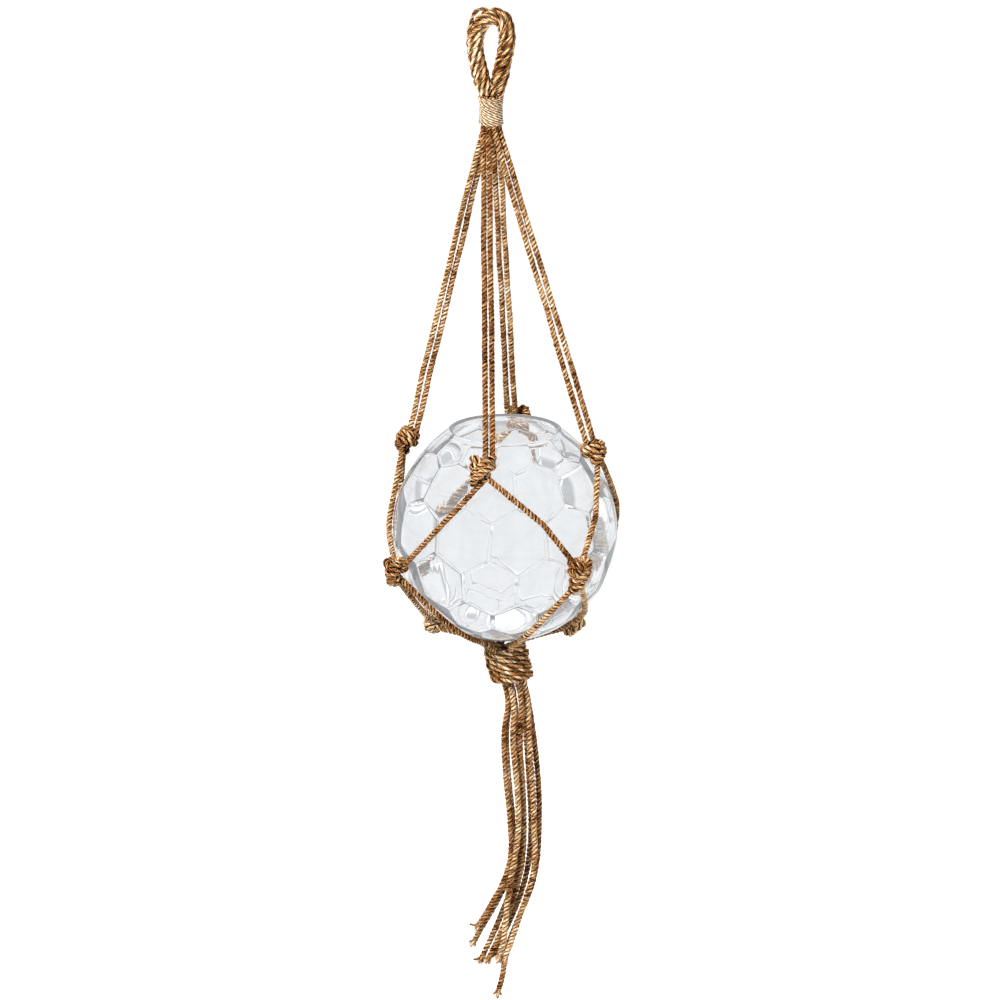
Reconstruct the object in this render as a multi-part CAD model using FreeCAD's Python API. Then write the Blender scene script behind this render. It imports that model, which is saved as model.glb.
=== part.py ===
import FreeCAD, Part
import math
import os

os.makedirs("parts", exist_ok=True)
V = FreeCAD.Vector

# All lengths are in millimetres and all angles in degrees.
# The origin is where the hook bears, inside the top of the hanging eye. +Z is up and -Y faces the viewer.
# A bearing is measured around the globe: 0 is +X (right), 90 is -Y (front), 180 is -X (left).

# Glass globe
globe_radius = 90.0
globe_drop = 420.3            # hook point down to the globe's centre
globe_shift = 9.6             # the net hangs a little to the right of the eye
shoulder_latitude = 25.0      # above this the wall opens out towards the mouth
mouth_radius = 41.5
lip_radius = 2.3              # half the thickness of the rounded lip
lip_raise = 3.9               # the wall flares up to the lip by this much above the round of the globe
thinnest_wall = 2.0           # glass left behind the corners of the honeycomb
base_wall = 6.0
cells_round = 12              # honeycomb cells in each row
first_row_latitude = 8.0
first_cell_bearing = 83.0
rows_above = 2
rows_below = 4

# Jute cord
cord_diameter = 4.8
cord_clearance = 0.3          # between a cord and the glass it lies on
pair_spacing = 5.2            # between the two legs of a pair where they enter a knot
neck_bend = 24.0              # centreline radius where a leg bends out under the whipping
neck_free = 4.5               # whipping foot down to the corner of that bend
gather_bend = 4.8             # centreline radius where a cord turns down into the gathering wrap

# Hanging eye and its whipping
rope_diameter = 13.2
whipping_drop = 60.0          # hook point down to the top of the whipping
whipping_height = 24.0
whipping_shift = -1.6
whipping_turns = 13
twine_thickness = 1.2
bundle_clearance = 0.05
neck_ring = 6.6               # radius of the ring of eight cords inside the whipping

# Knots
knot_strand_radius = 3.2      # radius of the section of a knot's turns
knot_core_inset = 2.1         # the round core stays this far inside the turns
knot_turn_tilt = 27.0

# Gathering wrap under the globe
gather_shift = -1.0
gather_gap = 6.5              # bottom of the globe down to where the cords turn into the wrap
gather_lean = 15.0
wrap_start = 3.4
wrap_turns = 5
wrap_pitch = 5.8
wrap_thickness = 5.6
gather_ring = 8.4             # radius of the ring of eight cords inside the wrap
tassel_start = 15.0           # each strand leaves the wrap straight for this long

# Where the knots sit: bearing, latitude and distance out from the globe's surface
knot_spots = {
    "upper_knot_front": (102.6, 41.3, 17.3),
    "upper_knot_left": (190.3, 40.3, 15.0),
    "upper_knot_back": (277.5, 39.0, 16.2),
    "upper_knot_right": (16.7, 43.2, 12.4),
    "lower_knot_front_left": (151.5, -13.3, 10.6),
    "lower_knot_front_right": (53.8, -8.5, 10.6),
    "lower_knot_back_left": (188.4, -55.3, 9.5),
    "lower_knot_back_right": (341.5, -56.2, 10.8),
}

# Width and height of each knot
knot_sizes = {
    "upper_knot_front": (22.0, 26.6),
    "upper_knot_left": (19.0, 25.0),
    "upper_knot_back": (21.0, 24.0),
    "upper_knot_right": (20.6, 18.0),
    "lower_knot_front_left": (20.0, 26.6),
    "lower_knot_front_right": (20.0, 29.0),
    "lower_knot_back_left": (16.6, 16.0),
    "lower_knot_back_right": (17.6, 21.0),
}

# Where the pair of legs meets each upper knot, as far to the right of and above its middle
leg_feet = {"front": (4.4, 3.0), "left": (0.0, 6.0), "back": (5.3, 3.0), "right": (0.0, 3.0)}

# How far the pair of legs over each upper knot turns round its own middle, the right cord to the back
pair_turns = {"front": -25.0, "left": 40.0, "back": -40.0, "right": 20.0}

# Net cords: the knot each leaves, the knot it runs to, and the bearing and latitude of a place it passes over.
# With each knot: how far to the right of and above the knot's middle the cord lies, seen from outside the globe.
net_cords = {
    "front_to_front_left": (
        ("upper_knot_front", 3.0, -7.0), ("lower_knot_front_left", 1.0, 1.0), (121.7, 18.6)),
    "front_to_front_right": (
        ("upper_knot_front", 7.0, -8.0), ("lower_knot_front_right", -2.5, 7.0), (71.7, 19.0)),
    "left_to_front_left": (
        ("upper_knot_left", 2.0, -4.0), ("lower_knot_front_left", -1.0, 1.0), (184.3, 14.7)),
    "left_to_back_left": (
        ("upper_knot_left", -2.0, -4.0), ("lower_knot_back_left", -1.0, 2.0), (205.0, -3.0)),
    "right_to_front_right": (
        ("upper_knot_right", -2.0, -5.0), ("lower_knot_front_right", 1.5, 6.5), (37.1, 14.4)),
    "right_to_back_right": (
        ("upper_knot_right", 2.0, -5.0), ("lower_knot_back_right", 1.0, 2.0), (345.0, 3.5)),
    "back_to_back_left": (
        ("upper_knot_back", 2.0, -3.0), ("lower_knot_back_left", -3.5, -0.5), (232.0, -8.0)),
    "back_to_back_right": (
        ("upper_knot_back", -2.0, -3.0), ("lower_knot_back_right", 3.5, -0.5), (312.0, -8.0)),
    "front_left_to_back_left": (
        ("lower_knot_front_left", -3.5, -6.0), ("lower_knot_back_left", 3.0, 1.5), (167.8, -36.5)),
    "front_right_to_back_right": (
        ("lower_knot_front_right", 3.0, -7.0), ("lower_knot_back_right", -3.0, 1.0), (31.4, -36.0)),
}

# Cords under the globe: the knot each leaves, its place in the wrap's ring of cords as a bearing, and the
# bearing and latitude of a place it passes over
sling_cords = {
    "front_left": (("lower_knot_front_left", 2.0, -3.0), 112.5, (138.1, -38.0)),
    "front_right": (("lower_knot_front_right", 1.0, -7.0), 67.5, (67.4, -40.3)),
    "back_left_a": (("lower_knot_back_left", 5.0, -1.5), 157.5, None),
    "back_left_b": (("lower_knot_back_left", 0.0, -2.0), 202.5, None),
    "back_left_c": (("lower_knot_back_left", -5.0, -1.5), 247.5, None),
    "back_right_a": (("lower_knot_back_right", -5.0, -1.5), 22.5, None),
    "back_right_b": (("lower_knot_back_right", 0.0, -2.0), 337.5, None),
    "back_right_c": (("lower_knot_back_right", 5.0, -1.5), 292.5, None),
}

# Places of the legs in the whipping's ring of cords, as bearings: left cord of the pair first, then right
leg_slots = {"front": (157.5, 112.5), "left": (202.5, 247.5), "right": (67.5, 22.5), "back": (292.5, 337.5)}

# Centreline of the hanging eye, as x and z, from the right foot over the top to the left foot
eye_right = [(3.2, -60.0), (6.2, -40.0), (12.6, -14.0), (7.5, 5.2)]
eye_left = [(-7.5, 6.0), (-15.8, -9.0), (-13.6, -30.0), (-5.4, -60.0)]

# Tassel strands: x, y and z of each route's points, from the middle of the wrap's foot
tassel_routes = {
    "strand_1": [(-9, -6, -38), (-7, -7, -76), (-3, -5, -114), (-2, -5, -144),
                 (-8, -5, -165), (-17, -6, -181), (-25, -5, -196), (-31, -4, -205)],
    "strand_2": [(-7, 5, -42), (-5, 4, -78), (-1, 2, -114), (0, 3, -144),
                 (-5, 3, -165), (-13, 1, -182), (-22, 1, -198), (-29, 0, -210), (-34, 1, -220)],
    "strand_3": [(-2, -10, -44), (2, -10, -80), (4, -9, -116), (1, -10, -144),
                 (-4, -12, -166), (-6, -11, -184), (-7, -12, -202), (-9, -10, -218), (-13, -10, -229)],
    "strand_4": [(2, 8, -46), (5, 9, -82), (7, 7, -116), (5, 6, -146),
                 (0, 5, -168), (-7, 5, -186), (-13, 3, -202), (-21, 3, -220), (-28, 1, -235)],
    "strand_5": [(4, -7, -48), (7, -4, -84), (8, -4, -118), (7, -4, -148),
                 (2, -5, -170), (-4, -3, -190), (-10, -4, -206), (-16, -3, -220), (-22, -4, -233)],
    "strand_6": [(10, 7, -50), (12, 5, -86), (14, 4, -120), (12, 2, -150),
                 (7, 1, -172), (0, 3, -192), (-7, 3, -208), (-12, 4, -220), (-16, 3, -231)],
    "strand_7": [(12, -5, -52), (15, -3, -88), (16, -2, -120), (17, -3, -152),
                 (11, -6, -174), (4, -8, -194), (-1, -10, -210), (-6, -10, -224), (-9, -11, -232)],
    "strand_8": [(17, 4, -56), (20, 5, -92), (20, 4, -122), (19, 2, -146),
                 (15, 0, -168), (8, -1, -186), (1, -2, -202), (-5, -3, -218), (-8, -3, -234),
                 (-10, -2, -249), (-14, -2, -261)],
}
tassel_slots = {
    "strand_1": 157.5, "strand_2": 202.5, "strand_3": 112.5, "strand_4": 247.5,
    "strand_5": 67.5, "strand_6": 292.5, "strand_7": 22.5, "strand_8": 337.5,
}

lip_outer_radius = mouth_radius + 2 * lip_radius
lip_height = math.sqrt(globe_radius ** 2 - lip_outer_radius ** 2) + lip_raise
rim_height = lip_height + lip_radius
cord_radius = cord_diameter / 2
globe_centre = V(globe_shift, 0, -globe_drop)
net_radius = globe_radius + cord_radius + cord_clearance
whipping_top = V(whipping_shift, 0, -whipping_drop)
whipping_foot = whipping_top - V(0, 0, whipping_height)
wrap_axis = V(math.sin(math.radians(gather_lean)), 0, -math.cos(math.radians(gather_lean)))
gather_point = globe_centre + V(gather_shift, 0, -globe_radius - gather_gap)
wrap_height = wrap_turns * wrap_pitch
wrap_top = gather_point + wrap_axis * wrap_start
wrap_foot = wrap_top + wrap_axis * wrap_height


def around(bearing, latitude=0.0):
    """Unit vector at a bearing and latitude around the globe."""
    turn = math.radians(bearing)
    rise = math.radians(latitude)
    return V(math.cos(turn) * math.cos(rise), -math.sin(turn) * math.cos(rise), math.sin(rise))


def knot_place(name, right=0.0, above=0.0):
    """Middle of a knot, or a place to the right of and above its middle, seen from outside the globe."""
    bearing, latitude, standoff = knot_spots[name]
    outward = around(bearing, latitude)
    rightward = V(0, 0, 1).cross(outward).normalize()
    upward = outward.cross(rightward)
    return globe_centre + outward * (globe_radius + standoff) + rightward * right + upward * above


def largest(shape):
    """The main solid of a cut, without the slivers."""
    return max(shape.Solids, key=lambda solid: solid.Volume)


def export(shape, node):
    shape.exportStep("parts/" + node + ".step")


# Routes of cords: straight runs joined by tangent arcs

def line(a, b):
    return Part.LineSegment(a, b).toShape()


def arc(a, middle, b):
    return Part.Arc(a, middle, b).toShape()


def corner(before, point, after, radius):
    """Arc of the given radius inside one corner, and the points where it leaves and meets the runs."""
    u = (before - point).normalize()
    w = (after - point).normalize()
    turn = math.pi - u.getAngle(w)
    reach = radius * math.tan(turn / 2)
    start = point + u * reach
    end = point + w * reach
    centre = point + (u + w).normalize() * (radius / math.cos(turn / 2))
    middle = centre + (point - centre).normalize() * radius
    return start, middle, end


def rounded(points, radii):
    """Edges through the points, with an arc of the given radius at each inner point."""
    edges = []
    here = points[0]
    for before, point, after, radius in zip(points, points[1:], points[2:], radii):
        start, middle, end = corner(before, point, after, radius)
        edges.append(line(here, start))
        edges.append(arc(start, middle, end))
        here = end
    edges.append(line(here, points[-1]))
    return edges


def free_radii(points):
    """Radius at each inner point: as large as the two runs beside it allow."""
    radii = []
    for before, point, after in zip(points, points[1:], points[2:]):
        turn = math.pi - (before - point).getAngle(after - point)
        shorter = min(before.distanceToPoint(point), point.distanceToPoint(after))
        radii.append(0.45 * shorter / math.tan(turn / 2))
    return radii


def tube(edges, diameter):
    """Round solid along a path of edges that meet tangentially."""
    path = Part.Wire(edges)
    start = edges[0].valueAt(edges[0].FirstParameter)
    ahead = edges[0].tangentAt(edges[0].FirstParameter)
    section = Part.Wire(Part.makeCircle(diameter / 2, start, ahead))
    return path.makePipeShell([section], True, True)


def over_globe(start, end, passing):
    """Edges from start over the glass to end: straight, round the globe, and straight again."""
    middle = V(globe_centre)
    radius = net_radius
    if passing:
        over = globe_centre + around(*passing) * net_radius
        normal = (start - over).cross(end - over).normalize()
        offset = (start - globe_centre).dot(normal)
        middle = globe_centre + normal * offset
        radius = math.sqrt(net_radius ** 2 - offset ** 2)
    a = start - middle
    b = end - middle
    across = a.cross(b).cross(a).normalize()
    along = V(a).normalize()
    first = math.acos(radius / a.Length)
    last = a.getAngle(b) - math.acos(radius / b.Length)

    def at(angle):
        return middle + (along * math.cos(angle) + across * math.sin(angle)) * radius

    return [line(start, at(first)), arc(at(first), at((first + last) / 2), at(last)), line(at(last), end)]


# Glass globe: one blown piece, smooth outside, with flat honeycomb cells inside

def globe_body():
    """Outside of the globe down to a plug in its mouth, turned from one profile."""
    rise = math.radians(shoulder_latitude)
    shoulder = V(globe_radius * math.cos(rise), 0, globe_radius * math.sin(rise))
    lip_outer = V(lip_outer_radius, 0, lip_height)
    crest = V(mouth_radius + lip_radius, 0, rim_height)
    lip_inner = V(mouth_radius, 0, lip_height)
    plug = globe_radius / 2
    normal = V(shoulder).normalize()
    shared = lip_outer.dot(normal)
    opening_radius = (lip_outer.dot(lip_outer) + globe_radius ** 2 - 2 * globe_radius * shared)
    opening_radius = opening_radius / (2 * (globe_radius - shared))
    opening_centre = normal * (globe_radius - opening_radius)
    halfway = (shoulder + lip_outer) * 0.5 - opening_centre
    opening_middle = opening_centre + halfway.normalize() * opening_radius
    low = (rise - math.pi / 2) / 2
    low_middle = V(globe_radius * math.cos(low), 0, globe_radius * math.sin(low))
    bottom = V(0, 0, -globe_radius)
    profile = [
        arc(bottom, low_middle, shoulder),
        arc(shoulder, opening_middle, lip_outer),
        arc(lip_outer, crest, lip_inner),
        line(lip_inner, V(mouth_radius, 0, plug)),
        line(V(mouth_radius, 0, plug), V(0, 0, plug)),
        line(V(0, 0, plug), bottom),
    ]
    face = Part.Face(Part.Wire(profile))
    return face.revolve(V(0, 0, 0), V(0, 0, 1), 360)


def cell_row(latitude, distance, turned):
    """Pyramid whose sides are the flat cells of one row, all touching a sphere of radius distance."""
    low = base_wall - globe_radius
    high = globe_radius
    rise = math.radians(latitude)

    def ring(height):
        apothem = (distance - height * math.sin(rise)) / math.cos(rise)
        radius = apothem / math.cos(math.pi / cells_round)
        step = 360.0 / cells_round
        return [around(turned + (i + 0.5) * step) * radius + V(0, 0, height) for i in range(cells_round)]

    under = ring(low)
    over = ring(high)
    faces = [Part.Face(Part.makePolygon(under + [under[0]])), Part.Face(Part.makePolygon(over + [over[0]]))]
    for i in range(cells_round):
        j = (i + 1) % cells_round
        faces.append(Part.Face(Part.makePolygon([under[i], under[j], over[j], over[i], under[i]])))
    solid = Part.Solid(Part.Shell(faces))
    solid.fix(0.001, 0.001, 0.001)
    return solid


def outer_distance(latitude):
    """How far the outside of the globe is from its centre at a latitude, as a sphere with a raised shoulder."""
    over = max(0.0, math.radians(latitude - shoulder_latitude))
    lip = math.hypot(lip_outer_radius, lip_height)
    lip_latitude = math.degrees(math.atan2(lip_height, lip_outer_radius))
    share = over / math.radians(lip_latitude - shoulder_latitude)
    return globe_radius + (lip - globe_radius) * share ** 2


def honeycomb_cavity():
    """Inside of the globe: rows of flat cells, each row turned half a cell from the next."""
    step = 2 * math.pi / cells_round * math.sqrt(3) / 2
    start = math.atanh(math.sin(math.radians(first_row_latitude)))
    cavity = None
    for row in range(-rows_below, rows_above + 1):
        latitude = math.degrees(math.asin(math.tanh(start + row * step)))
        corner_angle = math.radians(180.0 / cells_round) * math.cos(math.radians(latitude)) * 2 / math.sqrt(3)
        distance = (outer_distance(latitude) - thinnest_wall) * math.cos(corner_angle)
        turned = first_cell_bearing + (row % 2) * 180.0 / cells_round
        pyramid = cell_row(latitude, distance, turned)
        cavity = pyramid if cavity is None else cavity.common(pyramid)
    return cavity


def glass_globe():
    glass = largest(globe_body().cut(honeycomb_cavity()))
    glass.translate(globe_centre)
    return glass


# Hanging eye: the middles of the four cords laid together and bent into an eye

def hanging_eye():
    half_turn = [V(x, 0, z) for x, z in (eye_right[-1], eye_left[0])]
    top = (half_turn[0] + half_turn[1]) * 0.5
    halves = []
    for side in (eye_right, list(reversed(eye_left))):
        points = [V(x, 0, z) for x, z in side] + [top]
        halves.append(tube(rounded(points, free_radii(points)), rope_diameter))
    reach = 4 * rope_diameter
    below = Part.makeBox(reach, reach, reach, V(-reach / 2, -reach / 2, -whipping_drop - reach))
    return largest(halves[0].fuse(halves[1]).cut(below).removeSplitter())


# Whipping and gathering wrap: sleeves with one round ridge for each turn

def ridged_sleeve(bore, thickness, turns, pitch):
    """Sleeve hanging down from the origin, with a half-round ridge for each turn."""
    edges = [line(V(bore, 0, 0), V(bore, 0, -turns * pitch))]
    valley = bore + thickness * 0.55
    edges.append(line(V(bore, 0, -turns * pitch), V(valley, 0, -turns * pitch)))
    for turn in range(turns, 0, -1):
        low = V(valley, 0, -turn * pitch)
        crest = V(bore + thickness, 0, -(turn - 0.5) * pitch)
        high = V(valley, 0, -(turn - 1) * pitch)
        edges.append(arc(low, crest, high))
    edges.append(line(V(valley, 0, 0), V(bore, 0, 0)))
    return Part.Face(Part.Wire(edges)).revolve(V(0, 0, 0), V(0, 0, 1), 360)


def eye_whipping():
    bore = neck_ring + cord_radius + bundle_clearance
    sleeve = ridged_sleeve(bore, twine_thickness, whipping_turns, whipping_height / whipping_turns)
    sleeve.translate(whipping_top)
    return sleeve


def gathering_wrap():
    bore = gather_ring + cord_radius + bundle_clearance
    sleeve = ridged_sleeve(bore, wrap_thickness, wrap_turns, wrap_pitch)
    sleeve.rotate(V(0, 0, 0), V(0, 1, 0), -gather_lean)
    sleeve.translate(wrap_top)
    return sleeve


# Knots: two crossing turns over a round core

def knot(centre, axis, facing, width, height):
    """Overhand knot of two cords: axis points up the knot, facing points away from the globe."""
    up = V(axis).normalize()
    turn_radius = width / 2 - knot_strand_radius
    tilt = math.radians(knot_turn_tilt)
    step = height / 2 - knot_strand_radius * math.cos(tilt) - turn_radius * math.sin(tilt)
    body = Part.makeSphere(width / 2 - knot_core_inset, centre)
    for sign in (1, -1):
        normal = FreeCAD.Rotation(V(facing), sign * knot_turn_tilt).multVec(up)
        body = body.fuse(Part.makeTorus(turn_radius, knot_strand_radius, centre + up * (sign * step), normal))
    return largest(body)


def all_knots():
    made = {}
    for name, (bearing, latitude, standoff) in knot_spots.items():
        place = knot_place(name)
        if name.startswith("upper"):
            axis = whipping_foot - place
            outward = around(bearing)
        else:
            outward = around(bearing, latitude)
            axis = V(0, 0, 1) - outward * outward.z
        made[name] = knot(place, axis, outward, *knot_sizes[name])
    return made


# Cords

def ring_place(centre, bearing, radius, axis):
    """Place in a ring of cords, in the plane across the axis."""
    flat = around(bearing) * radius
    return centre + flat - axis * (flat.dot(axis) / axis.dot(axis))


def legs():
    """Two cords from the top of the whipping down to each upper knot."""
    made = {}
    for name, slots in leg_slots.items():
        place = knot_place("upper_knot_" + name, *leg_feet[name])
        down = (place - whipping_foot).normalize()
        across = FreeCAD.Rotation(down, -pair_turns[name]).multVec(down.cross(V(0, 1, 0)).normalize())
        for letter, hand, slot in zip("ab", (-1, 1), slots):
            top = whipping_top + around(slot) * neck_ring
            bend = top - V(0, 0, whipping_height + neck_free)
            end = place + across * (hand * pair_spacing / 2)
            path = rounded([top, bend, end], [neck_bend])
            made["leg_" + name + "_" + letter] = (path, ["upper_knot_" + name])
    return made


def nets():
    """Cords that lie over the glass from one knot to another."""
    made = {}
    for name, (leaving, entering, passing) in net_cords.items():
        path = over_globe(knot_place(*leaving), knot_place(*entering), passing)
        made["net_" + name] = (path, [leaving[0], entering[0]])
    return made


def slings():
    """Cords from the lower knots under the globe and down through the gathering wrap."""
    made = {}
    for name, (leaving, slot, passing) in sling_cords.items():
        turn_in = ring_place(gather_point, slot, gather_ring, wrap_axis)
        over = over_globe(knot_place(*leaving), turn_in, passing)
        last_run = over[-1]
        off_glass = last_run.valueAt(last_run.FirstParameter)
        foot = turn_in + wrap_axis * (wrap_start + wrap_height)
        path = over[:-1] + rounded([off_glass, turn_in, foot], [gather_bend])
        made["sling_" + name] = (path, [leaving[0]])
    return made


def tassel_points(name):
    """Route of one strand: straight out of the wrap, then down the listed points."""
    start = ring_place(wrap_foot, tassel_slots[name], gather_ring, wrap_axis)
    listed = [wrap_foot + V(*point) for point in tassel_routes[name]]
    return [start, start + wrap_axis * tassel_start] + listed


def build():
    export(glass_globe(), "glass_globe")
    export(hanging_eye(), "hanging_eye")
    export(eye_whipping(), "eye_whipping")
    export(gathering_wrap(), "gathering_wrap")
    knots = all_knots()
    for name, solid in knots.items():
        export(solid, name)
    for group in (legs(), nets(), slings()):
        for name, (path, ends) in group.items():
            cord = tube(path, cord_diameter)
            for end in ends:
                cord = largest(cord.cut(knots[end]))
            export(cord, name)
    for name in tassel_routes:
        points = tassel_points(name)
        radii = free_radii(points)
        path = rounded(points, radii)
        strand = tube(path, cord_diameter)
        length = sum(edge.Length for edge in path)
        expected = length * math.pi * cord_radius ** 2
        print(name, "length", round(length), "volume share", round(strand.Volume / expected, 4),
              "radii", [round(radius) for radius in radii])
        export(strand, "tassel_" + name)


build()
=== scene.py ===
import math

import bmesh
import bpy
import numpy as np
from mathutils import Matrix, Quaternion, Vector


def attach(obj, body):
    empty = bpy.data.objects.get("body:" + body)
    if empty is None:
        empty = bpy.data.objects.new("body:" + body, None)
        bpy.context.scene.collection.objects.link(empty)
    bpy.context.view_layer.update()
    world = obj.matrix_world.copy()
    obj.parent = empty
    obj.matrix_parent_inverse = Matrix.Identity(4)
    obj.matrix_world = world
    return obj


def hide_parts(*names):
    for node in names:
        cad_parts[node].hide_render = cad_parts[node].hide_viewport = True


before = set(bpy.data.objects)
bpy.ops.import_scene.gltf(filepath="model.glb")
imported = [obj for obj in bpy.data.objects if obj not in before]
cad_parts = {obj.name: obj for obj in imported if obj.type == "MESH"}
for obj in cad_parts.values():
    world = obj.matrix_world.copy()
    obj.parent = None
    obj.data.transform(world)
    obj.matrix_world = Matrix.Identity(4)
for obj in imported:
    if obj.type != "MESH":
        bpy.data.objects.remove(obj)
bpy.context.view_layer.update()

mm = 0.001


# Camera, light and floor

camera = {
    "aim": (0.0056, 0.0, -0.3961), "elevation": 16.0, "distance": 30.0, "farthest": 200.0, "width": 0.8,
    "sensor": 36.0,
}
stageSet = {"floorHeight": -1.25, "floorSize": 30.0, "floorColor": (0.9, 0.9, 0.9, 1)}
sky = {
    "fill": 0.18, "level": 0.70, "panels": 10, "bright": 0.27, "line": 0.46, "floorGlow": 0.9,
    "panelEdge": (-0.75, 0.9), "lineEdge": (-0.995, -0.86),
}
lamps = [
    {"name": "keyLamp", "place": (-1.4, -1.8, 1.3), "size": 0.9, "watts": 118.0},
    {"name": "sideLamp", "place": (1.9, -0.7, 0.3), "size": 1.2, "watts": 22.0},
    {"name": "rimLamp", "place": (0.5, 1.9, 1.0), "size": 0.8, "watts": 18.0},
]


def link(obj):
    bpy.context.scene.collection.objects.link(obj)
    return obj


def aimAt(obj, target):
    away = Vector(obj.location) - Vector(target)
    obj.rotation_euler = away.to_track_quat("Z", "Y").to_euler()


def makeCamera():
    rise = math.radians(camera["elevation"])
    data = bpy.data.cameras.new("photoCamera")
    data.sensor_width = camera["sensor"]
    data.lens = camera["sensor"] * camera["distance"] / camera["width"]
    data.clip_end = camera["farthest"]
    obj = link(bpy.data.objects.new("photoCamera", data))
    back = Vector((0, -math.cos(rise), math.sin(rise)))
    obj.location = Vector(camera["aim"]) + back * camera["distance"]
    aimAt(obj, camera["aim"])
    bpy.context.scene.camera = obj


def makeLamps():
    for lamp in lamps:
        data = bpy.data.lights.new(lamp["name"], "AREA")
        data.shape = "DISK"
        data.size = lamp["size"]
        data.energy = lamp["watts"]
        obj = link(bpy.data.objects.new(lamp["name"], data))
        obj.location = lamp["place"]
        aimAt(obj, camera["aim"])
        obj.visible_transmission = False  # the glass shows the surroundings, not the lamps
        obj.visible_glossy = False


def addNode(tree, kind, inputs={}, **settings):  # a node whose inputs are values or other nodes' outputs
    node = tree.nodes.new("ShaderNode" + kind)
    for name, value in settings.items():
        setattr(node, name, value)
    for key, value in inputs.items():
        if isinstance(value, bpy.types.NodeSocket):
            tree.links.new(value, node.inputs[key])
        else:
            node.inputs[key].default_value = value
    return node


def mathNode(tree, operation, *values):
    return addNode(tree, "Math", dict(enumerate(values)), operation=operation).outputs[0]


def vectorNode(tree, operation, *values):
    return addNode(tree, "VectorMath", dict(enumerate(values)), operation=operation).outputs["Vector"]


def smoothRange(tree, value, before, after):
    inputs = {"Value": value, "From Min": before[0], "From Max": before[1],
              "To Min": after[0], "To Max": after[1]}
    return addNode(tree, "MapRange", inputs, interpolation_type="SMOOTHSTEP").outputs["Result"]


def rayMasks(tree):  # 1 for camera rays, and 1 for the rays that glass and gloss send out
    rays = addNode(tree, "LightPath").outputs
    inGlass = mathNode(tree, "MAXIMUM", rays["Is Glossy Ray"], rays["Is Transmission Ray"])
    return rays["Is Camera Ray"], inGlass


def panelsAlong(tree, angle):  # bright panels with thin dark edges at even angles
    turned = mathNode(tree, "MULTIPLY", angle, sky["panels"])
    panel = mathNode(tree, "COSINE", turned)
    line = mathNode(tree, "COSINE", mathNode(tree, "MULTIPLY", turned, 2))
    bright = smoothRange(tree, panel, sky["panelEdge"], (0, 1))
    return bright, smoothRange(tree, line, sky["lineEdge"], (1, 0))


def surroundings(tree, way):  # brightness that glass and gloss see in a direction
    split = addNode(tree, "SeparateXYZ", {0: way}).outputs
    bearing = mathNode(tree, "ARCTAN2", split["Y"], split["X"])
    height = mathNode(tree, "ARCSINE", split["Z"])
    tilted = mathNode(tree, "ADD", height, math.radians(camera["elevation"]) + math.pi / sky["panels"])
    brightRound, edgeRound = panelsAlong(tree, bearing)
    brightUp, edgeUp = panelsAlong(tree, tilted)
    bright = mathNode(tree, "MULTIPLY", mathNode(tree, "MAXIMUM", brightRound, brightUp), sky["bright"])
    edge = mathNode(tree, "MULTIPLY", mathNode(tree, "MAXIMUM", edgeRound, edgeUp), sky["line"])
    return mathNode(tree, "SUBTRACT", mathNode(tree, "ADD", bright, sky["level"]), edge)


def makeWorld():
    world = bpy.data.worlds.new("studio")
    bpy.context.scene.world = world
    world.use_nodes = True
    tree = world.node_tree
    tree.nodes.clear()
    seen, inGlass = rayMasks(tree)
    panels = surroundings(tree, addNode(tree, "TexCoord").outputs["Generated"])
    fill = mathNode(tree, "MULTIPLY", mathNode(tree, "SUBTRACT", 1, inGlass), sky["fill"])
    shown = mathNode(tree, "ADD", mathNode(tree, "MULTIPLY", inGlass, panels), fill)
    light = addNode(tree, "Background", {"Strength": mathNode(tree, "MAXIMUM", shown, seen)})
    addNode(tree, "OutputWorld", {"Surface": light.outputs[0]})


def floorMaterial():
    material = bpy.data.materials.new("floorWhite")
    material.use_nodes = True
    tree = material.node_tree
    tree.nodes.clear()
    seen, inGlass = rayMasks(tree)
    plain = addNode(tree, "BsdfDiffuse", {"Color": stageSet["floorColor"]})
    glow = addNode(tree, "Emission", {"Strength": mathNode(tree, "MULTIPLY", seen, sky["floorGlow"])})
    both = addNode(tree, "AddShader", {0: plain.outputs[0], 1: glow.outputs[0]})
    place = addNode(tree, "TexCoord").outputs["Object"]
    way = vectorNode(tree, "NORMALIZE", vectorNode(tree, "SUBTRACT", place, camera["aim"]))
    shown = addNode(tree, "Emission", {"Strength": surroundings(tree, way)})
    choice = addNode(tree, "MixShader", {"Fac": inGlass, 1: both.outputs[0], 2: shown.outputs[0]})
    addNode(tree, "OutputMaterial", {"Surface": choice.outputs[0]})
    return material


def makeFloor():
    mesh = bpy.data.meshes.new("floor")
    bm = bmesh.new()
    bmesh.ops.create_grid(bm, x_segments=1, y_segments=1, size=stageSet["floorSize"] / 2)
    bmesh.ops.translate(bm, vec=(0, 0, stageSet["floorHeight"]), verts=bm.verts)
    bm.to_mesh(mesh)
    bm.free()
    mesh.materials.append(floorMaterial())
    floor = link(bpy.data.objects.new("floor", mesh))


bpy.context.scene.view_settings.view_transform = "Standard"
makeCamera()
makeLamps()
makeWorld()
makeFloor()
print("stage ready")


# Places of the net in millimetres and degrees, most of them as in the solids
# Given one by one are the spacing and turns of the pairs, three bearings in the whipping and one net cord

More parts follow.
